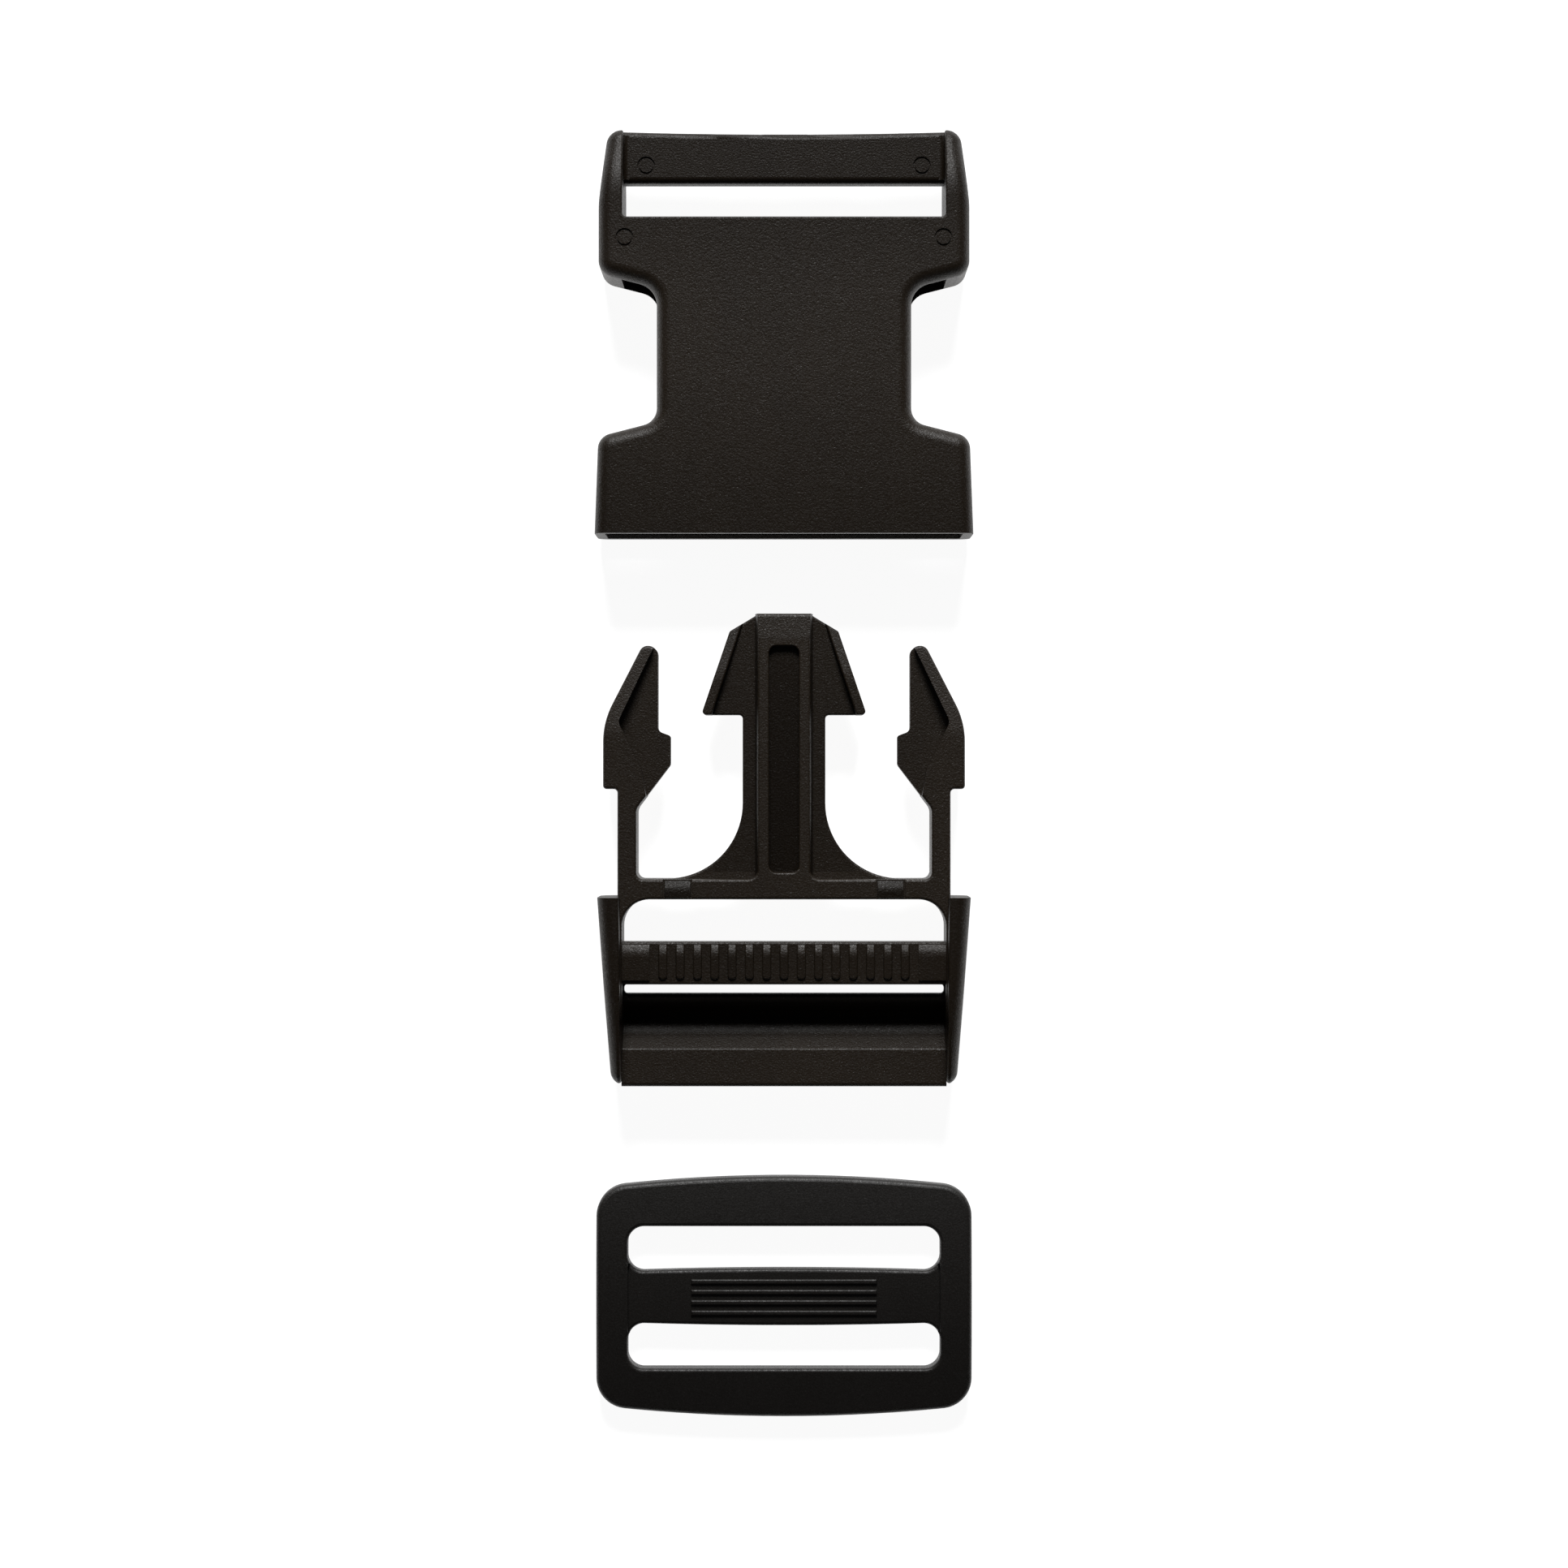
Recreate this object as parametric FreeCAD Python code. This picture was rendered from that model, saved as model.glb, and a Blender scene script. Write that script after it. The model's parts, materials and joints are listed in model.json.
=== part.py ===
import FreeCAD, Part
import math
import os

from FreeCAD import Vector

# A side-release buckle for 40 mm webbing and the strap slider that goes with it.
# The receptacle, the plug and the slider lie open on a table, in line, top faces up.
# Millimetres. +X runs across the webbing, +Y along it, +Z up. The origin is on the
# table, under the middle of the row.

# ------------------------------------------------------------ driving dimensions
SLOT_HALF = 20.35           # half the length of the receptacle's webbing slot
HEIGHT = 11.2               # outside height of the buckle
MID = HEIGHT / 2            # height of the parting plane
EDGE_ROUND = 1.7            # rounding of the buckle's outer edges

TIP_TO_MOUTH = 10.0         # free space between the prong's tip and the receptacle
PLUG_TO_SLIDER = 11.9       # free space between the plug and the slider

# Receptacle, measured from the face of its mouth
PLATE = 1.7                 # thickness of the plates above and below the cavity
RC_LENGTH = 51.3
RC_MOUTH_HALF = 23.9
RC_SHOULDER_HALF = 23.45
RC_WAIST_HALF = 16.05
RC_BLOCK_HALF = 23.4
RC_END_HALF = 22.3
RC_SHOULDER_Y = 12.25
RC_BLOCK_Y = 30.95
RC_RISE = 1.9               # the shoulders slope by this much
RC_ROLL_FALL = 3.1          # the end rolls off towards the parting plane by this much
RC_SLOT_Y = 39.8
RC_BAR_Y = 44.7
RC_BAR_THICK = 3.2
RC_LEDGE_HALF = 21.3        # half width between the ledges that hold the arms
RC_LEDGE_Y = 13.15
RC_ENTRY_HALF = 22.6
RC_ENTRY_DEPTH = 9.0
RC_POCKET_HALF = 20.5       # pockets for the tips of the arms
RC_POCKET_Y = 33.4
RC_CAVITY_Y = 36.6
GUIDE_HALF = 10.4           # half the channel between the guide ribs
GUIDE_RIB = 0.8
GUIDE_START_Y = 9.0
GUIDE_END_Y = 26.0
MARK_RADIUS = 1.12          # ejector pin marks, each a fine ring
MARK_RING = 0.24
MARK_DEPTH = 0.2
BAR_MARK = (17.5, RC_BAR_Y + 2.25)
BLOCK_MARK = (20.05, RC_SLOT_Y - 2.6)

# Plug, measured from the faces that meet the mouth; the levels are above and below MID
PL_LEVEL = 3.6              # arms, crossbar and ridge
WEB_LEVEL = 1.3             # thin webs of the prong and arms
WEB_ROUND = 0.25
RIM_LEVEL = 2.6             # rims of the prong's head
CROSSBAR_TOP = 2.3
CROSSBAR_BOTTOM = -0.25
TAB_X = (11.85, 15.05)      # pads on the crossbar
TAB_RISE = 0.24
TAB_GAP = 0.28
TAB_GROOVE = 0.35
FRAME_HALF = 21.2           # the frame runs on into the rails this far
PL_SLOT_HALF = 20.5
PL_SLOT_CORNER = 3.5
RAIL_OUTER = 23.6
RAIL_OUTER_END = 21.85
RAIL_INNER = 20.8
RAIL_INNER_END = 20.5
RAIL_END_Y = -23.75
RAIL_ROUND = 1.9
GRIP_TOP_Y = -5.65
GRIP_RIB_Y = -10.4
GRIP_BOTTOM_Y = -11.05
GRIP_LOW_Z = 4.6
GRIP_HIGH_Z = 8.8
GRIP_GROOVE = 0.45
GRIP_RIBS_EACH_SIDE = 7
GRIP_PITCH = 2.19
GRIP_RIB = 1.12
GRIP_RIB_ROUND = 0.2
GRIP_BLOCK_HALF = 17.05     # the smooth ends of the grip bar start here
SCOOP_TOP_Y = -12.25
LIP_Y = -19.35
PLUG_END_Y = -24.1

TIP_Y = 35.9
TIP_RAMP_Y = 32.7           # the ridge falls away from here to the tip
TIP_RAMP = 0.35
STEM_HALF = 5.25
HEAD_Y = 23.1
HEAD_HALF = 10.5
HEAD_SHOULDER_HALF = 6.9
HEAD_SHOULDER_Y = 33.7
HEAD_RIM = 1.33
HEAD_THIN_Y = 28            # the rims get thinner from here to the tip
HEAD_THIN = 1.1
RIDGE_TOP_HALF = 3.3
RIDGE_FOOT_HALF = 3.65
RIDGE_SLOT_HALF = 1.9
RIDGE_SLOT_Y = (3.1, 31.8)
RIDGE_SLOT_DEPTH = (1.5, 0.8)   # by the crossbar and by the tip
GUSSET_RADIUS = 9.65

# Latch arms, in the plug's frame
LEAF_INNER = 18.65
LEAF_OUTER = 21.05
PIVOT_X = (LEAF_INNER + LEAF_OUTER) / 2
PIVOT_Y = 4.6
ROOT_RADIUS = 2.0
ROOT_GAP = 0.03
ARM_ROUND = 0.35            # rounding of the edges of the arms and crossbar
ARM_OUTER = 22.87
ARM_LEDGE_Y = 13.7
ARM_TIP_Y = 31.85
ARM_TIP_INNER = 16.0
ARM_STOP = 14.4
ARM_THIN_Y = 21             # the arm gets thinner from here to its tip
ARM_THIN = 1.2

# Slider
SL_HALF_WIDTH = 24.05
SL_HALF_LENGTH = 13.95      # at the corners; the long sides bow out
SL_BOW = 1.45
SL_CORNER = 4.0
SL_THICK = 3.0
SL_ARCH = 1.2               # the long sides dip below the middle
SL_SLOT_HALF = 20.0
SL_SLOT_INNER = 3.3
SL_SLOT_OUTER = 9.1
SL_SLOT_CORNER = 2.1
SL_SLOT_ROUND = 0.45
SL_ROUND = 0.7
SL_STEP_HALF = 4.4          # the ends of the middle bar step up to the frame this wide
SL_SETTLE = 0.11            # how far the rounding lifts the edges it stands on
SL_BAR_BOW = 0.35
SL_BAR_DROP = 0.8
SL_GRIP_HALF = 11.9
SL_GRIP_PITCH = 1.33
SL_GRIP_WIDTH = 0.68
SL_GRIP_HEIGHT = 0.3
SL_GRIPS = 4

# Places along the row
SLIDER_HALF = SL_HALF_LENGTH + SL_BOW
ROW_LENGTH = RC_LENGTH + TIP_TO_MOUTH + TIP_Y - PLUG_END_Y + PLUG_TO_SLIDER + 2 * SLIDER_HALF
RECEPTACLE_Y = ROW_LENGTH / 2 - RC_LENGTH
PLUG_Y = RECEPTACLE_Y - TIP_TO_MOUTH - TIP_Y
SLIDER_Y = SLIDER_HALF - ROW_LENGTH / 2

WIDE = 30                   # past the outside of every moulding
ORIGIN = Vector(0, 0, 0)
X_AXIS = Vector(1, 0, 0)
Y_AXIS = Vector(0, 1, 0)
Z_AXIS = Vector(0, 0, 1)


# ------------------------------------------------------------ drawing
def rounded_wire(corners):
    """A closed wire through (x, y) or (x, y, radius) corners, with each radius as a tangent arc."""
    spots = [Vector(c[0], c[1], 0) for c in corners]
    radii = [c[2] if len(c) > 2 else 0 for c in corners]
    cuts = []
    for i, (here, radius) in enumerate(zip(spots, radii)):
        back = (spots[i - 1] - here).normalize()
        on = (spots[(i + 1) % len(spots)] - here).normalize()
        half = back.getAngle(on) / 2
        reach = radius / math.tan(half)
        inward = (back + on).normalize() if radius else ORIGIN
        middle = here + inward * (radius / math.sin(half) - radius)
        cuts.append((here + back * reach, middle, here + on * reach, radius))
    edges = []
    for i, (start, middle, end, radius) in enumerate(cuts):
        if radius:
            edges.append(Part.Arc(start, middle, end).toShape())
        following = cuts[(i + 1) % len(cuts)][0]
        if (following - end).Length > 1e-6:
            edges.append(Part.LineSegment(end, following).toShape())
    return Part.Wire(edges)


def both_sides(half):
    """A full outline from the corners of its right half."""
    return half + [(-c[0], *c[1:]) for c in reversed(half)]


def both_faces(under):
    """A full side or end view from its corners below the parting plane."""
    return under + [(c[0], HEIGHT - c[1], *c[2:]) for c in reversed(under)]


def prism(corners, low, high):
    """An outline in plan, solid from z = low to z = high."""
    face = Part.Face(rounded_wire(corners))
    face.translate(Vector(0, 0, low))
    return face.extrude(Vector(0, 0, high - low))


def level_prism(corners, level):
    """An outline in plan, solid to the same level above and below the parting plane."""
    return prism(corners, MID - level, MID + level)


def across(corners, half_width):
    """A side view of (y, z) corners, solid from x = -half_width to half_width."""
    face = Part.Face(rounded_wire(corners))
    face.rotate(ORIGIN, X_AXIS, 90)
    face.rotate(ORIGIN, Z_AXIS, 90)
    face.translate(Vector(-half_width, 0, 0))
    return face.extrude(Vector(2 * half_width, 0, 0))


def along(corners, start, end):
    """An end view of (x, z) corners, solid from y = start to y = end."""
    face = Part.Face(rounded_wire(corners))
    face.rotate(ORIGIN, X_AXIS, 90)
    face.translate(Vector(0, start, 0))
    return face.extrude(Vector(0, end - start, 0))


def block(x, y, z):
    return Part.makeBox(x[1] - x[0], y[1] - y[0], z[1] - z[0], Vector(x[0], y[0], z[0]))


def mirrored(shape):
    """The same shape on the other side of the row's middle line."""
    return shape.mirror(ORIGIN, X_AXIS)


def on_both_sides(shape):
    return shape.fuse(mirrored(shape))


def flipped(shape):
    """The same shape on the other side of the parting plane."""
    return shape.mirror(Vector(0, 0, MID), Z_AXIS)


def middle_of(edge):
    return edge.valueAt((edge.FirstParameter + edge.LastParameter) / 2)


def is_rim(shape, edge):
    """Whether an edge parts a wall from a face that looks up or down."""
    tilts = []
    for face in shape.ancestorsOfType(edge, Part.Face):
        u, v = face.Surface.parameter(middle_of(edge))
        tilts.append(abs(face.normalAt(u, v).z))
    return len(tilts) == 2 and min(tilts) < 0.3 and max(tilts) > 0.7


def round_rims(shape, radius, chosen):
    """Rounds the rims whose middle point passes chosen(x, y, z)."""
    rims = [e for e in shape.Edges if is_rim(shape, e) and chosen(*middle_of(e))]
    return shape.makeFillet(radius, rims)


# ------------------------------------------------------------ receptacle
def receptacle_shell():
    """The outside: wide shoulders, a waist for the fingers, a block, and an end that rolls off."""
    plan = both_sides(
        [
            (RC_MOUTH_HALF, 0),
            (RC_SHOULDER_HALF, RC_SHOULDER_Y, 2),
            (RC_WAIST_HALF, RC_SHOULDER_Y + RC_RISE, 2.2),
            (RC_WAIST_HALF, RC_BLOCK_Y, 2.8),
            (RC_BLOCK_HALF, RC_BLOCK_Y + RC_RISE, 2.1),
            (RC_BLOCK_HALF, RC_BAR_Y - 3, 12),
            (RC_END_HALF, RC_LENGTH, 2),
        ]
    )
    roll = across(both_faces([(0, 0), (RC_BAR_Y, 0, 12), (RC_LENGTH + 2, RC_ROLL_FALL)]), WIDE)
    shell = prism(plan, 0, HEIGHT).common(roll)
    return round_rims(shell, EDGE_ROUND, lambda x, y, z: y > 0.01)


def receptacle_cavity():
    """Room for the plug: a tapering mouth, two side windows, and pockets for the arms' tips."""
    window_end = RC_BLOCK_Y + 0.75
    plan = both_sides(
        [
            (RC_ENTRY_HALF, -1),
            (RC_ENTRY_HALF, 0),
            (RC_LEDGE_HALF, RC_ENTRY_DEPTH, 12),
            (RC_LEDGE_HALF, RC_LEDGE_Y),
            (WIDE, RC_LEDGE_Y),
            (WIDE, window_end),
            (RC_POCKET_HALF, window_end),
            (RC_POCKET_HALF, RC_POCKET_Y, 0.8),
            (10, RC_POCKET_Y, 1),
            (7.8, RC_CAVITY_Y, 0.8),
        ]
    )
    cavity = prism(plan, PLATE, HEIGHT - PLATE)
    lead = across(both_faces([(-1, PLATE - 1), (0.5, PLATE)]), RC_ENTRY_HALF)
    return cavity.fuse(lead)


def guide_rib():
    """A rib from plate to plate, tapered at the end that meets the prong first."""
    outer = GUIDE_HALF + GUIDE_RIB
    plan = [
        (GUIDE_HALF + 0.25, GUIDE_START_Y, 0.14),
        (outer - 0.2, GUIDE_START_Y, 0.14),
        (outer, GUIDE_START_Y + 2),
        (outer, GUIDE_END_Y, 0.35),
        (GUIDE_HALF, GUIDE_END_Y, 0.35),
        (GUIDE_HALF, GUIDE_START_Y + 2),
    ]
    return prism(plan, PLATE - 0.3, HEIGHT - PLATE + 0.3)


def strap_bar():
    """The thin bar that the webbing loops round, set below both faces."""
    low = MID - RC_BAR_THICK / 2
    reach = SLOT_HALF + 0.6
    corners = [Vector(reach, RC_LENGTH, low), Vector(-reach, RC_LENGTH, low)]
    corners += [Vector(-reach, RC_BAR_Y, low), Vector(reach, RC_BAR_Y, low)]
    sides = [Part.Arc(corners[0], Vector(0, RC_LENGTH - 0.3, low), corners[1]).toShape()]
    sides += [Part.LineSegment(corners[i], corners[(i + 1) % 4]).toShape() for i in (1, 2, 3)]
    bar = Part.Face(Part.Wire(sides)).extrude(Vector(0, 0, RC_BAR_THICK))
    return round_rims(bar, 0.8, lambda x, y, z: abs(x) < 1)


def bar_fillet():
    """A small concave fillet where the strap bar runs into a rail."""
    size = 0.7
    top = MID + RC_BAR_THICK / 2
    start, end = RC_BAR_Y + 0.4, RC_LENGTH - 0.6
    corner = block((SLOT_HALF - size, SLOT_HALF + 0.1), (start, end), (top - 0.1, top + size))
    fillet = corner.cut(Part.makeCylinder(size, RC_LENGTH, Vector(SLOT_HALF - size, 0, top + size), Y_AXIS))
    return fillet.fuse(flipped(fillet))


def ejector_marks():
    """The shallow rings left round the mould's ejector pins."""
    marks = []
    for (x, y), surface in ((BAR_MARK, MID + RC_BAR_THICK / 2), (BLOCK_MARK, HEIGHT)):
        place = Vector(x, y, surface - MARK_DEPTH)
        inside = Part.makeCylinder(MARK_RADIUS - MARK_RING, 2, place)
        ring = Part.makeCylinder(MARK_RADIUS, 2, place).cut(inside)
        marks += [ring, mirrored(ring)]
    return marks


def receptacle():
    open_end = [(SLOT_HALF, RC_LENGTH + 1), (SLOT_HALF, RC_SLOT_Y, 0.5)]
    slot_y = (RC_SLOT_Y - 0.1, RC_LENGTH - 1.5)
    shell = receptacle_shell().cut(receptacle_cavity())
    shell = shell.cut(prism(both_sides(open_end), -1, HEIGHT + 1))
    shell = round_rims(shell, 0.25, lambda x, y, z: slot_y[0] < y < slot_y[1] and abs(x) < SLOT_HALF + 0.1)
    added = [on_both_sides(guide_rib()), strap_bar(), on_both_sides(bar_fillet())]
    return shell.fuse(added).cut(ejector_marks()).removeSplitter()


# ------------------------------------------------------------ plug
def rail():
    """The right-hand side rail: tall where it meets the mouth, lower and rounded at its end."""
    inside = 16
    plan = [(inside, 0), (RAIL_OUTER, 0), (RAIL_OUTER_END, RAIL_END_Y, 1.8), (inside, RAIL_END_Y)]
    side = across(
        [
            (0, 0),
            (-12, 0, 40),
            (RAIL_END_Y - 1, 0.7),
            (RAIL_END_Y - 1, HEIGHT - 1.6),
            (-12, HEIGHT, 40),
            (0, HEIGHT),
        ],
        WIDE,
    )
    solid = prism(plan, 0, HEIGHT).common(side)
    solid = round_rims(solid, RAIL_ROUND, lambda x, y, z: y < -0.01 and x > inside + 0.1)
    wall = [(RAIL_INNER, 1), (WIDE, 1), (WIDE, -30), (RAIL_INNER_END, -30)]
    solid = solid.common(prism(wall, -1, HEIGHT + 1))
    return round_rims(solid, 0.35, lambda x, y, z: x < RAIL_INNER + 0.1 and y < -0.01)


def arm_room():
    """The space above the rounded root of the right-hand arm."""
    root = Part.makeCylinder(ROOT_RADIUS + ROOT_GAP, HEIGHT, Vector(PIVOT_X, PIVOT_Y, 0))
    return root.fuse(block((PIVOT_X - 2.5, PIVOT_X + 2.5), (PIVOT_Y, PIVOT_Y + 5), (0, HEIGHT)))


def tab():
    """A small pad that stands a little proud of the crossbar."""
    low, high = CROSSBAR_BOTTOM + 0.15, CROSSBAR_TOP - 0.15
    under = MID - PL_LEVEL - TAB_RISE
    side = both_faces([(low, under, 0.15), (high - 1, under, 2), (high, under + 0.5, 0.1)])
    pad = across(side, (TAB_X[1] - TAB_X[0]) / 2)
    return pad.translated(Vector((TAB_X[0] + TAB_X[1]) / 2, 0, 0))


def tab_groove():
    """A fine groove round the pad's foot, above and below."""
    wide = block((TAB_X[0] - TAB_GAP, TAB_X[1] + TAB_GAP), (-1, 3), (MID + PL_LEVEL - TAB_GROOVE, HEIGHT))
    return wide.fuse(flipped(wide))


def frame():
    """The full-height frame: crossbar, arm roots, and the strips beside the webbing slot."""
    plan = both_sides(
        [
            (FRAME_HALF, LIP_Y),
            (FRAME_HALF, 0),
            (LEAF_OUTER, 0),
            (LEAF_OUTER, PIVOT_Y),
            (LEAF_INNER, PIVOT_Y),
            (LEAF_INNER, CROSSBAR_TOP, 0.9),
            (RIDGE_TOP_HALF, CROSSBAR_TOP, 1.3),
            (RIDGE_TOP_HALF, PIVOT_Y),
        ]
    )
    window = both_sides([(PL_SLOT_HALF, LIP_Y), (PL_SLOT_HALF, CROSSBAR_BOTTOM, PL_SLOT_CORNER)])
    solid = level_prism(plan, PL_LEVEL).cut(level_prism(window, PL_LEVEL))
    end = FRAME_HALF - 0.1
    solid = round_rims(solid, ARM_ROUND, lambda x, y, z: LIP_Y + 0.1 < y < PIVOT_Y - 0.1 and abs(x) < end)
    solid = solid.cut(on_both_sides(tab_groove())).fuse(on_both_sides(tab()))
    return solid.cut(on_both_sides(arm_room()))


def grip_bar():
    """The bar that the webbing doubles over, with fine ribs across it."""
    groove_z = GRIP_HIGH_Z - GRIP_GROOVE
    core = across(
        [
            (GRIP_TOP_Y, GRIP_LOW_Z, 0.8),
            (GRIP_TOP_Y, groove_z, 0.3),
            (GRIP_BOTTOM_Y, groove_z, 0.3),
            (GRIP_BOTTOM_Y, GRIP_LOW_Z, 0.8),
        ],
        RAIL_INNER,
    )
    ribs_side = across(
        [
            (GRIP_TOP_Y - 0.05, GRIP_LOW_Z + 1),
            (GRIP_TOP_Y - 0.05, groove_z - 0.15),
            (GRIP_TOP_Y - 1.2, GRIP_HIGH_Z, 2.4),
            (GRIP_RIB_Y - 0.1, groove_z + 0.27),
            (GRIP_RIB_Y - 0.1, GRIP_LOW_Z + 1),
        ],
        RAIL_INNER,
    )
    half = GRIP_RIB / 2
    ribs = []
    for k in range(-GRIP_RIBS_EACH_SIDE, GRIP_RIBS_EACH_SIDE + 1):
        x = k * GRIP_PITCH
        plan = [
            (x - half, GRIP_RIB_Y, 0.5),
            (x + half, GRIP_RIB_Y, 0.5),
            (x + half, GRIP_TOP_Y + 0.1),
            (x - half, GRIP_TOP_Y + 0.1),
        ]
        rib = prism(plan, GRIP_LOW_Z, HEIGHT).common(ribs_side)
        ribs.append(round_rims(rib, GRIP_RIB_ROUND, lambda x, y, z: z > groove_z))
    end_block = block((GRIP_BLOCK_HALF, RAIL_INNER), (GRIP_BOTTOM_Y - 1, 0), (GRIP_LOW_Z, HEIGHT))
    end_block = end_block.common(ribs_side)
    return core.fuse(ribs + [end_block, mirrored(end_block)])


def scoop():
    """The bent plate behind the grip bar: it dips, then rises to a flat lip for the thumb."""
    solid = across(
        [
            (SCOOP_TOP_Y, 8.2, 0.6),
            (-15.8, 2.3, 2),
            (LIP_Y, 6.6, 0.35),
            (PLUG_END_Y, 6.8, 0.5),
            (PLUG_END_Y, 4.9, 0.6),
            (-20.1, 4.8, 1.5),
            (-17.3, 1.6, 1.5),
            (-14.3, 1.6, 1.5),
            (SCOOP_TOP_Y, 4.9, 0.6),
        ],
        RAIL_INNER - 0.15,
    )
    web = block((PL_SLOT_HALF - 0.6, RAIL_INNER), (SCOOP_TOP_Y - 0.5, GRIP_BOTTOM_Y + 0.5), (5.8, 6.8))
    return solid.fuse(on_both_sides(web))


def tapered(level, start, bend, end, fall):
    """A slab as thick as level up to y = bend, thinner by fall on each side at y = end."""
    low = MID - level
    return across(both_faces([(start - 1, low), (bend, low, 12), (end, low + fall)]), WIDE)


def head_half(y):
    """Half the width of the prong's arrow-shaped head at y."""
    slope = (HEAD_HALF - HEAD_SHOULDER_HALF) / (HEAD_SHOULDER_Y - HEAD_Y)
    return HEAD_HALF - slope * (y - HEAD_Y)


def head(level):
    shoulder = (HEAD_SHOULDER_HALF, HEAD_SHOULDER_Y, 0.5)
    corners = [(HEAD_HALF, HEAD_Y, 0.45), shoulder, (RIDGE_TOP_HALF, TIP_Y)]
    return level_prism(both_sides(corners), level)


def head_rims():
    """Thicker rims along the head's slanted sides."""
    between = [(head_half(y) - HEAD_RIM, y) for y in (HEAD_Y - 1, TIP_Y + 1)]
    rims = head(RIM_LEVEL).cut(level_prism(both_sides(between), RIM_LEVEL))
    rims = rims.common(tapered(RIM_LEVEL, HEAD_Y, HEAD_THIN_Y, TIP_Y, HEAD_THIN))
    return round_rims(rims, WEB_ROUND, lambda x, y, z: True)


def stem():
    """The prong's thin stem, which spreads into the crossbar in two quarter circles."""
    x, y = STEM_HALF + GUSSET_RADIUS, CROSSBAR_TOP + GUSSET_RADIUS
    neck = [(STEM_HALF, HEAD_Y, 0.5), (STEM_HALF + 2, HEAD_Y), (STEM_HALF + 2, HEAD_Y + 1)]
    plan = both_sides([(x, 1), (x, y), (STEM_HALF, y)] + neck)
    gap = Part.makeCylinder(GUSSET_RADIUS, HEIGHT, Vector(x, y, 0))
    return level_prism(plan, WEB_LEVEL).cut(on_both_sides(gap))


def prong():
    """The guide prong: a thin web with a rimmed head and a grooved ridge down its middle."""
    web = stem().fuse(head(WEB_LEVEL)).removeSplitter()
    web = round_rims(web, WEB_ROUND, lambda x, y, z: y > 1.1)
    return ridge().fuse([web, head_rims()])


def ridge_slot():
    """The groove in the ridge's top, shallower towards the tip."""
    near, far = RIDGE_SLOT_Y
    plan = both_sides([(RIDGE_SLOT_HALF, near, 1), (RIDGE_SLOT_HALF, far, 1)])
    floor = [(y, MID + PL_LEVEL - depth) for y, depth in zip(RIDGE_SLOT_Y, RIDGE_SLOT_DEPTH)]
    above_floor = across(floor + [(far, HEIGHT), (near, HEIGHT)], RIDGE_SLOT_HALF)
    return prism(plan, MID, HEIGHT).common(above_floor)


def ridge():
    low = MID - PL_LEVEL
    outline = both_sides(both_faces([(RIDGE_TOP_HALF, low, 0.3), (RIDGE_FOOT_HALF, MID - WEB_LEVEL)]))
    side = both_faces([(0, low), (TIP_RAMP_Y, low, 2), (TIP_Y, low + TIP_RAMP, 0.5)])
    return along(outline, 1, TIP_Y).common(across(side, RIDGE_FOOT_HALF + 1))


def plug():
    half = PL_SLOT_HALF - 0.2
    narrow_slot = both_sides([(half, SCOOP_TOP_Y, 0.5), (half, GRIP_BOTTOM_Y, 0.5)])
    whole = frame().fuse([on_both_sides(rail()), grip_bar(), scoop(), prong()])
    whole = whole.cut([prism(narrow_slot, 0, HEIGHT), ridge_slot(), flipped(ridge_slot())]).removeSplitter()
    low, high = RIDGE_SLOT_Y[0] - 0.1, RIDGE_SLOT_Y[1] + 0.1
    half = RIDGE_SLOT_HALF + 0.01
    level = PL_LEVEL - 0.1
    return round_rims(whole, 0.2, lambda x, y, z: abs(x) < half and low < y < high and abs(z - MID) > level)


# ------------------------------------------------------------ latch arms
def right_arm():
    """The right-hand arm: a thin leaf, an outer rib that rides the mouth, and a thinner inner web."""
    plan = [
        (LEAF_OUTER, 2),
        (LEAF_OUTER, ARM_LEDGE_Y, 0.5),
        (ARM_OUTER, ARM_LEDGE_Y, 0.45),
        (ARM_OUTER, 22.2, 10.4),
        (17.95, ARM_TIP_Y, 1.1),
        (ARM_TIP_INNER, ARM_TIP_Y, 1.2),
        (ARM_TIP_INNER, 21.05, 0.7),
        (ARM_STOP, 20.45, 0.45),
        (ARM_STOP, 16.75, 0.8),
        (LEAF_INNER, 11.2, 1.5),
        (LEAF_INNER, 2),
    ]
    recess = [
        (15.8, ARM_TIP_Y + 1.4),
        (21.0, 22.2, 1.3),
        (18.05, 16.3, 1.8),
        (17.3, 12),
        (12, 12),
        (12, ARM_TIP_Y + 1.4),
    ]
    solid = level_prism(plan, PL_LEVEL).common(tapered(PL_LEVEL, 0, ARM_THIN_Y, ARM_TIP_Y + 1, ARM_THIN))
    solid = round_rims(solid, ARM_ROUND, lambda x, y, z: y > 2.1)
    below_root = block((15, 25), (0, PIVOT_Y), (0, HEIGHT))
    below_root = below_root.cut(Part.makeCylinder(ROOT_RADIUS, HEIGHT, Vector(PIVOT_X, PIVOT_Y, 0)))
    pocket = prism(recess, MID + WEB_LEVEL, HEIGHT)
    return solid.cut([below_root, pocket, flipped(pocket)])


# ------------------------------------------------------------ slider
def bowed_plan(half_width, low, high, low_bow, high_bow, z):
    """A face with straight ends and long sides that bow by the stated amounts."""
    corners = [
        Vector(-half_width, low, z),
        Vector(half_width, low, z),
        Vector(half_width, high, z),
        Vector(-half_width, high, z),
    ]
    sides = []
    for start, end, bow in ((0, 1, low_bow), (2, 3, high_bow)):
        peak = Vector(0, corners[start].y + bow, z)
        if bow:
            sides.append(Part.Arc(corners[start], peak, corners[end]).toShape())
        else:
            sides.append(Part.LineSegment(corners[start], corners[end]).toShape())
        sides.append(Part.LineSegment(corners[end], corners[(end + 1) % 4]).toShape())
    return Part.Face(Part.Wire(sides))


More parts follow.
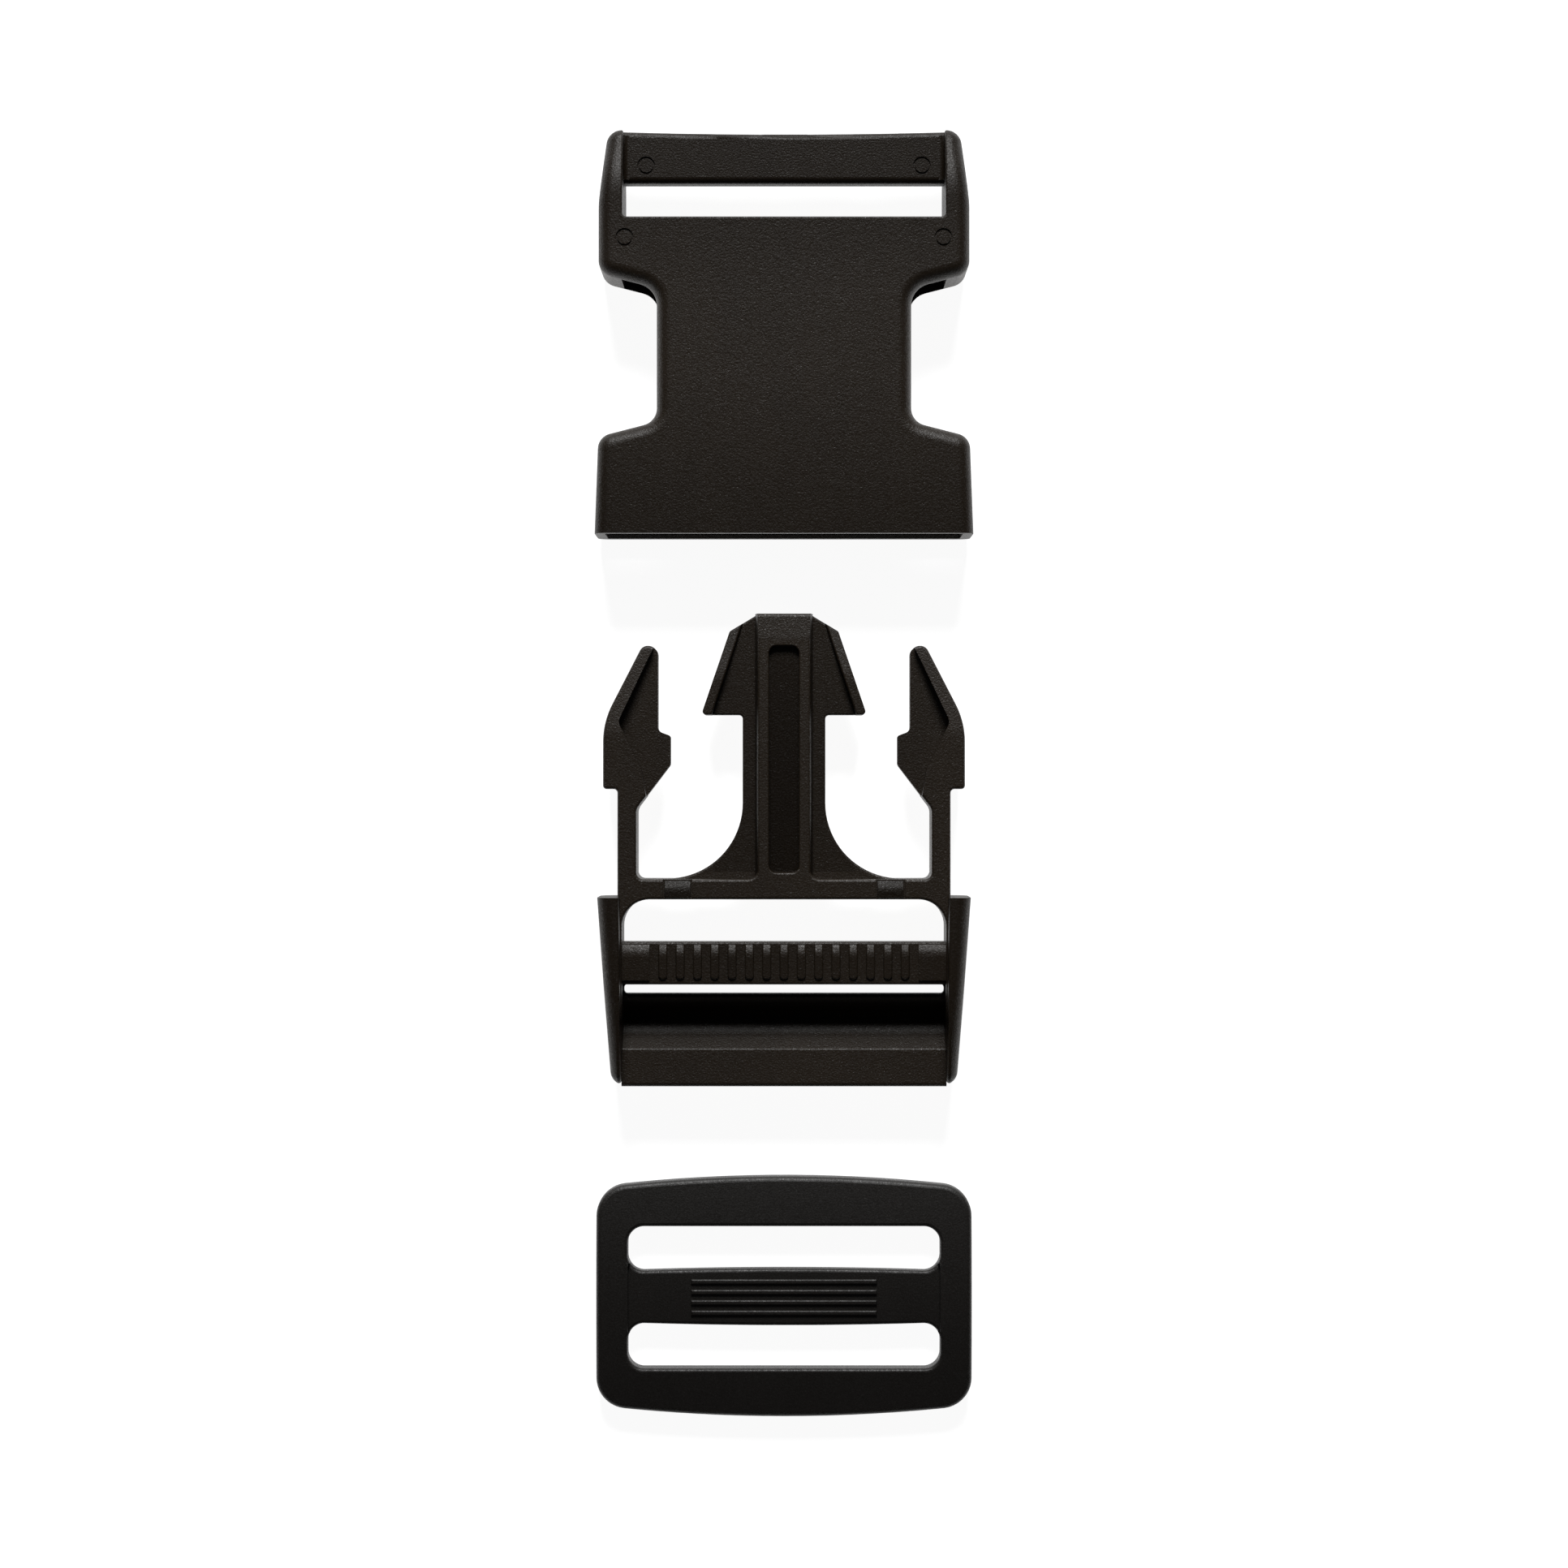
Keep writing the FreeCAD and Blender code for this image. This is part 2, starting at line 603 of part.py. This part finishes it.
def upright_corners(solid, radius):
    """Rounds the four upright edges of a bowed solid."""
    upright = [e for e in solid.Edges if e.BoundBox.ZLength > 1 and e.BoundBox.XLength < 0.01]
    return solid.makeFillet(radius, upright)


def arched(top, bottom):
    """Everything between two cylinders that arch the slider along the webbing."""
    radius = (SLIDER_HALF**2 + SL_ARCH**2) / (2 * SL_ARCH)
    centre = SL_ARCH - radius
    start = Vector(-WIDE, 0, centre)
    solid = Part.makeCylinder(radius + top, 2 * WIDE, start, X_AXIS)
    solid = solid.cut(Part.makeCylinder(radius + bottom, 2 * WIDE, start, X_AXIS))
    return solid.common(block((-WIDE, WIDE), (-20, 20), (-5, 20)))


def slider_slots():
    tall = Vector(0, 0, 12)
    slot = bowed_plan(SL_SLOT_HALF, SL_SLOT_INNER, SL_SLOT_OUTER, SL_BAR_BOW, 0, -4).extrude(tall)
    slot = upright_corners(slot, SL_SLOT_CORNER)
    return [slot, slot.mirror(ORIGIN, Y_AXIS)]


def slider_plate(thick):
    """The whole slider at one thickness, with rounded edges."""
    plan = bowed_plan(SL_HALF_WIDTH, -SL_HALF_LENGTH, SL_HALF_LENGTH, -SL_BOW, SL_BOW, -4)
    plate = upright_corners(plan.extrude(Vector(0, 0, 12)), SL_CORNER).common(arched(thick, 0))
    plate = round_rims(plate, SL_ROUND, lambda x, y, z: True)
    return round_rims(plate.cut(slider_slots()), SL_SLOT_ROUND, lambda x, y, z: abs(x) < 21 and abs(y) < 10)


def slider():
    """The frame, with its middle bar set a little lower and ribbed across the webbing."""
    bar_top = SL_THICK - SL_BAR_DROP
    bar_room = block((-SL_SLOT_HALF, SL_SLOT_HALF), (-SL_STEP_HALF, SL_STEP_HALF), (-4, 12))
    grips = []
    for k in range(SL_GRIPS):
        y = (k - (SL_GRIPS - 1) / 2) * SL_GRIP_PITCH
        plan = both_sides([(SL_GRIP_HALF, y - SL_GRIP_WIDTH / 2), (SL_GRIP_HALF, y + SL_GRIP_WIDTH / 2)])
        grip = prism(plan, -4, 12).common(arched(bar_top + SL_GRIP_HEIGHT, bar_top - 0.2))
        grips.append(round_rims(grip, SL_GRIP_WIDTH / 3, lambda x, y, z: z > bar_top + 1))
    frame_part = slider_plate(SL_THICK).cut(bar_room)
    return frame_part.fuse([slider_plate(bar_top).common(bar_room)] + grips).removeSplitter()


def main():
    os.makedirs("parts", exist_ok=True)
    at_plug = Vector(0, PLUG_Y, 0)
    nodes = {
        "receptacle": receptacle().translated(Vector(0, RECEPTACLE_Y, 0)),
        "plug": plug().translated(at_plug),
        "right_arm": right_arm().translated(at_plug),
        "left_arm": mirrored(right_arm()).translated(at_plug),
        "slider": slider().translated(Vector(0, SLIDER_Y, -SL_SETTLE)),
    }
    for name, shape in nodes.items():
        print(name, shape.isValid(), round(shape.Volume), "mm3")
        shape.exportStep("parts/" + name + ".step")


main()
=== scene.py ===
import json
import math

import bmesh
import bpy
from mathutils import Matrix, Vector


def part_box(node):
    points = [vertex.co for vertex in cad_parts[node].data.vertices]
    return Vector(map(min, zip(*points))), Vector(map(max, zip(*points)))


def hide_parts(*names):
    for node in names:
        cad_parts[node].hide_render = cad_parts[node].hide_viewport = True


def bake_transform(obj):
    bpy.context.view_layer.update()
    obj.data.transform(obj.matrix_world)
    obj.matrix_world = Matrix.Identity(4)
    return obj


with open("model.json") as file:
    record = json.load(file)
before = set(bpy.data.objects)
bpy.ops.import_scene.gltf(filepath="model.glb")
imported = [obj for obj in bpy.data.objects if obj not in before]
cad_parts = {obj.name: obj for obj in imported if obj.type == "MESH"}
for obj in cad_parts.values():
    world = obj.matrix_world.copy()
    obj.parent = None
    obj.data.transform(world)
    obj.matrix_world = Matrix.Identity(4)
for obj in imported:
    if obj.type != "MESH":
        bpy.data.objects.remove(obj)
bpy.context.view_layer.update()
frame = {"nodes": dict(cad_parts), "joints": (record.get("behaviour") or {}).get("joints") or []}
NODES = frame["nodes"]
JOINTS = {joint["name"]: joint for joint in frame["joints"]}
MM = 0.001


# ------------------------------------------------------------ camera, floor and light
VIEW_WIDTH = 200 * MM       # what the picture spans, on a plane through the middle of the mouldings
VIEW_DISTANCE = 420 * MM
VIEW_LEVEL = 5 * MM
VIEW_CENTRE_Y = -0.86 * MM
SENSOR = 36.0               # millimetres, as Blender counts them
FLOOR_HALF = 20.0           # metres
FLOOR_GAP = 0.02 * MM       # keeps the floor clear of the undersides
FLOOR_GLOW = 0.93
KEY_PLACE = (0, 0.56, 0.40)
KEY_SIZE = (0.24, 0.22)
KEY_WATTS = 3.6
ROOM_COLOUR = (0.032, 0.032, 0.034, 1)


def make_camera():
    """Straight down on the row, close enough to show a little of the inner walls."""
    data = bpy.data.cameras.new("camera")
    data.sensor_width = SENSOR
    data.lens = SENSOR * VIEW_DISTANCE / VIEW_WIDTH
    data.clip_start = 0.01
    data.clip_end = 60
    camera = bpy.data.objects.new("camera", data)
    camera.location = (0, VIEW_CENTRE_Y, VIEW_LEVEL + VIEW_DISTANCE)
    bpy.context.scene.collection.objects.link(camera)
    bpy.context.scene.camera = camera


def make_floor():
    """A plain white table, lit so evenly that it is almost free of shadow."""
    mesh = bpy.data.meshes.new("floor")
    corners = [(x * FLOOR_HALF, y * FLOOR_HALF, 0) for x, y in ((-1, -1), (1, -1), (1, 1), (-1, 1))]
    mesh.from_pydata(corners, [], [(0, 1, 2, 3)])
    floor = bpy.data.objects.new("floor", mesh)
    bpy.context.scene.collection.objects.link(floor)
    floor.location.z = -FLOOR_GAP
    material = bpy.data.materials.new("white_table")
    material.use_nodes = True
    shader = material.node_tree.nodes["Principled BSDF"]
    shader.inputs["Base Color"].default_value = (0.6, 0.6, 0.6, 1)
    shader.inputs["Roughness"].default_value = 0.9
    shader.inputs["Specular IOR Level"].default_value = 0.1
    shader.inputs["Emission Color"].default_value = (1, 1, 1, 1)
    shader.inputs["Emission Strength"].default_value = FLOOR_GLOW
    mesh.materials.append(material)


def make_light():
    """One wide softbox low beyond the receptacle, in a dim room."""
    data = bpy.data.lights.new("key", "AREA")
    data.shape = "RECTANGLE"
    data.size, data.size_y = KEY_SIZE
    data.energy = KEY_WATTS
    light = bpy.data.objects.new("key", data)
    light.location = KEY_PLACE
    light.rotation_euler = (-Vector(KEY_PLACE)).to_track_quat("-Z", "Y").to_euler()
    bpy.context.scene.collection.objects.link(light)
    world = bpy.data.worlds.new("room")
    bpy.context.scene.world = world
    world.use_nodes = True
    world.node_tree.nodes["Background"].inputs[0].default_value = ROOM_COLOUR
    bpy.context.scene.view_settings.view_transform = "Standard"


# ------------------------------------------------------------ materials
WARM_BLACK = (0.0172, 0.0104, 0.0046), (0.0228, 0.0142, 0.0067)
COOL_BLACK = (0.0092, 0.0076, 0.006), (0.0125, 0.0103, 0.0086)

# Patterns of the plastic, as noise scales per metre
COARSE_GRAIN = 4600
FINE_GRAIN = 10500
MOTTLE = 45
WEAR = 75
STREAKS = (420, 60, 60)
GLINTS = 8000
GLINT_LIMITS = (0.99, 0.94) # share of the cells without a glint, where fresh and where worn
NOISE_MIDDLE = (0.35, 0.65) # where most of a noise's values lie
SHEEN_SPREAD = 0.07

# Painted shade along the receptacle: its strength by the distance from its mouth in millimetres, darker
# towards both ends
RECEPTACLE_SHADE_POINTS = [(0, 0.62), (20, 0.88), (30, 0.83), (36, 0.72), (44, 0.58)]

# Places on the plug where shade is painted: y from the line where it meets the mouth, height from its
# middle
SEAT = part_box("plug")[1].y - 35.9 * MM
MID = (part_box("plug")[0].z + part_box("plug")[1].z) / 2
SLOT_HALF = 1.85 * MM
SLOT_Y = (SEAT + 3.2 * MM, SEAT + 31.7 * MM)
SLOT_LEVEL = 3.3 * MM
WEB_LEVEL = 1.5 * MM
PRONG_HALF = 9 * MM
RAIL_X = 20.75 * MM
TIP_HALF = 3.4 * MM
TIP_Y = SEAT + 32.6 * MM
PAD_X = (11.8 * MM, 15.1 * MM)
PAD_Y = (SEAT - 0.2 * MM, SEAT + 2.2 * MM)

# Painted shade on the plug, as the share of its strength that it loses: between its rails,
# by the millimetres from SEAT, and then in single places
FRAME_SHADE = [(-24, 0), (-19.5, 0), (-19.3, 0.2), (-18.2, 0.36), (-15.6, 0.8), (-13.5, 0.3), (-12.2, 0.3)]
FRAME_SHADE += [(-11.9, 0.14), (-5.7, 0.14), (-5.4, 0)]
TIP_SHADE = 0.2
SLOT_SHADE = 0.4
PAD_SHADE = 0.5
RAIL_SHADE = 0.33
WEB_SHADE = 0.1
PRONG_WEB_SHADE = 0.17       # on top of WEB_SHADE


class Graph:
    """A short way to write a material's nodes."""

    def __init__(self, name):
        self.material = bpy.data.materials.new(name)
        self.material.use_nodes = True
        self.tree = self.material.node_tree
        self.shader = self.tree.nodes["Principled BSDF"]
        self.coords = self.tree.nodes.new("ShaderNodeTexCoord").outputs["Object"]

    def add(self, kind, inputs, **settings):
        node = self.tree.nodes.new(kind)
        for key, value in settings.items():
            setattr(node, key, value)
        for key, value in inputs.items():
            self.feed(node.inputs[key], value)
        return node

    def feed(self, socket, value):
        if isinstance(value, bpy.types.NodeSocket):
            self.tree.links.new(value, socket)
        else:
            socket.default_value = value

    def stretched(self, scale):
        return self.add("ShaderNodeMapping", {"Vector": self.coords, "Scale": scale}).outputs[0]

    def noise(self, scale, detail, rough, vector=None):
        inputs = {"Vector": vector or self.coords, "Scale": scale, "Detail": detail, "Roughness": rough}
        return self.add("ShaderNodeTexNoise", inputs).outputs["Fac"]

    def speckle(self, scale):
        """A random grey for each cell of a fine pattern."""
        cells = self.add("ShaderNodeTexVoronoi", {"Vector": self.coords, "Scale": scale}, feature="F1")
        return self.add("ShaderNodeSeparateColor", {0: cells.outputs["Color"]}).outputs[0]

    def place(self, axis):
        return self.add("ShaderNodeSeparateXYZ", {0: self.coords}).outputs[axis]

    def product(self, *factors):
        result = factors[0]
        for factor in factors[1:]:
            result = self.math("MULTIPLY", result, factor)
        return result

    def above(self, value, limit):
        return self.math("GREATER_THAN", value, limit)

    def below(self, value, limit):
        return self.math("LESS_THAN", value, limit)

    def between(self, value, limits):
        return self.product(self.above(value, limits[0]), self.below(value, limits[1]))

    def curve(self, value, points):
        """Straight lines through (value, result) points, level beyond the ends."""
        result = points[0][1]
        for (start, low), (end, high) in zip(points, points[1:]):
            result = self.math("ADD", result, self.remap(value, start, end, 0.0, high - low))
        return result

    def remap(self, value, low, high, to_low=0.0, to_high=1.0):
        inputs = {"Value": value, "From Min": low, "From Max": high, "To Min": to_low, "To Max": to_high}
        return self.add("ShaderNodeMapRange", inputs).outputs[0]

    def math(self, operation, a, b):
        return self.add("ShaderNodeMath", {0: a, 1: b}, operation=operation).outputs[0]

    def mix(self, amount, a, b):
        node = self.tree.nodes.new("ShaderNodeMix")
        node.data_type = "RGBA"
        self.feed(node.inputs[0], amount)
        for socket, colour in ((node.inputs[6], a), (node.inputs[7], b)):
            self.feed(socket, colour if isinstance(colour, bpy.types.NodeSocket) else (*colour, 1))
        return node.outputs[2]

    def bump(self, height, strength, distance, under=None):
        inputs = {"Height": height, "Strength": strength, "Distance": distance}
        if under is not None:
            inputs["Normal"] = under
        return self.add("ShaderNodeBump", inputs).outputs[0]


def moulded_plastic(name, colours, grain, sheen, shine, glitter, painted_shade=None):
    """Black plastic with a spark-eroded grain.

    colours is a darker and a lighter tone. grain is the height of the grain, sheen the roughness,
    shine the strength of the reflections and glitter how much more of them a glint gives.
    The last argument is a function that takes the graph and gives a strength below 1 where shade is painted
    in: there the colour and the reflections are darkened.
    """
    g = Graph(name)
    coarse = g.noise(COARSE_GRAIN, 2, 0.55)
    fine = g.noise(FINE_GRAIN, 2, 0.6)
    mottle = g.noise(MOTTLE, 3, 0.6)
    streaks = g.noise(1, 3, 0.6, g.stretched(STREAKS))
    worn = g.remap(g.noise(WEAR, 3, 0.65), 0.42, 0.72)
    glints = g.above(g.speckle(GLINTS), g.remap(worn, 0, 1, *GLINT_LIMITS))

    tone = g.remap(g.math("ADD", mottle, g.product(streaks, 0.6)), 0.55, 1.05)
    # Painted shade: a strength below 1 blends the colour towards black and weakens the reflections,
    # standing in for shade.
    strength = painted_shade(g) if painted_shade else 1.0
    colour = g.mix(strength, (0, 0, 0), g.mix(tone, *colours))
    rough = g.remap(coarse, *NOISE_MIDDLE, sheen - SHEEN_SPREAD, sheen + SHEEN_SPREAD)
    sparkle = g.math("ADD", g.remap(fine, *NOISE_MIDDLE, 0.7, 1.3), g.product(glints, glitter))
    surface = g.bump(coarse, 0.8, grain)
    surface = g.bump(fine, 0.5, grain * 0.5, surface)

    g.feed(g.shader.inputs["Base Color"], colour)
    g.feed(g.shader.inputs["Roughness"], rough)
    g.feed(g.shader.inputs["Specular IOR Level"], g.product(strength, shine, sparkle))
    g.feed(g.shader.inputs["Normal"], surface)
    return g.material


def receptacle_painted_shade(g):
    """Painted shade: the receptacle is darkened towards both of its ends."""
    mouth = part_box("receptacle")[0].y
    return g.curve(g.place("Y"), [(mouth + y * MM, strength) for y, strength in RECEPTACLE_SHADE_POINTS])


def plug_painted_shade(g):
    """Painted shade: the plug is darkened in its hollows, on its rails and pads, and down in the scoop."""
    x = g.math("ABSOLUTE", g.place("X"), 0)
    y = g.place("Y")
    height = g.math("ABSOLUTE", g.math("SUBTRACT", g.place("Z"), MID), 0)
    ahead = g.above(y, SLOT_Y[0])

    frame_shade = g.curve(y, [(SEAT + place * MM, shade) for place, shade in FRAME_SHADE])
    web_shade = g.math("ADD", WEB_SHADE, g.product(PRONG_WEB_SHADE, g.below(x, PRONG_HALF)))
    painted_shades = [
        g.product(frame_shade, g.below(x, RAIL_X)),
        g.product(TIP_SHADE, g.above(y, TIP_Y), g.below(x, TIP_HALF)),
        g.product(SLOT_SHADE, g.between(y, SLOT_Y), g.below(x, SLOT_HALF), g.below(height, SLOT_LEVEL)),
        g.product(PAD_SHADE, g.between(x, PAD_X), g.between(y, PAD_Y)),
        g.product(RAIL_SHADE, g.below(y, SEAT), g.above(x, RAIL_X)),
        g.product(web_shade, ahead, g.remap(height, WEB_LEVEL, SLOT_LEVEL, 1.0, 0.0)),
    ]
    strength = 1.0
    for shade in painted_shades:
        strength = g.math("SUBTRACT", strength, shade)
    return strength


def dress(piece, material):
    piece.data.materials.clear()
    piece.data.materials.append(material)


# ------------------------------------------------------------ latch arms
BEND_BELOW = 1.4 * MM       # the leaf bends from this far below its hinge's centre
BEND_ABOVE = 6.5 * MM
BEND_CUTS = 12
TUCK = 0.4 * MM             # the root runs on into the crossbar by this much
TUCK_IN = 0.02 * MM
WELD = 1e-7                 # metres
ROOT_MARGIN = 1e-5          # metres
SHARP_ANGLE = math.radians(32)


def springy_arm(side, material):
    """A copy of the arm, sliced across the leaf where it bends out of the crossbar and tucked in at its
    root, shown in place of the rigid one.
    """
    node = NODES[side + "_arm"]
    hinge = Vector(JOINTS[side + "_arm_flex"]["pos_m"])
    mesh = node.data.copy()
    mesh.name = side + "_latch_arm"
    shape = bmesh.new()
    shape.from_mesh(mesh)
    for k in range(BEND_CUTS + 1):
        y = hinge.y - BEND_BELOW + (BEND_BELOW + BEND_ABOVE) * k / BEND_CUTS
        everything = shape.verts[:] + shape.edges[:] + shape.faces[:]
        bmesh.ops.bisect_plane(shape, geom=everything, dist=WELD, plane_co=(0, y, 0), plane_no=(0, 1, 0))
    for vertex in shape.verts:
        if vertex.co.y < hinge.y - BEND_BELOW - ROOT_MARGIN:
            vertex.co.y -= TUCK
            vertex.co.x += math.copysign(TUCK_IN, hinge.x - vertex.co.x)
            vertex.co.z += math.copysign(TUCK_IN, hinge.z - vertex.co.z)
    shape.to_mesh(mesh)
    shape.free()
    arm = bpy.data.objects.new(side + "_latch_arm", mesh)
    bpy.context.scene.collection.objects.link(arm)
    mesh.set_sharp_from_angle(angle=SHARP_ANGLE)
    dress(arm, material)
    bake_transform(arm)
    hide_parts(side + "_arm")


# ------------------------------------------------------------ the set
make_camera()
make_floor()
make_light()

receptacle_plastic = moulded_plastic(
    "receptacle_plastic", WARM_BLACK, grain=0.07 * MM, sheen=0.44, shine=0.56, glitter=1.0, painted_shade=receptacle_painted_shade)
plug_plastic = moulded_plastic(
    "plug_plastic", WARM_BLACK, grain=0.075 * MM, sheen=0.46, shine=0.57, glitter=1.3, painted_shade=plug_painted_shade)
slider_plastic = moulded_plastic(
    "slider_plastic", COOL_BLACK, grain=0.034 * MM, sheen=0.48, shine=0.58, glitter=0.5)

dress(NODES["receptacle"], receptacle_plastic)
dress(NODES["plug"], plug_plastic)
dress(NODES["slider"], slider_plastic)
springy_arm("left", plug_plastic)
springy_arm("right", plug_plastic)
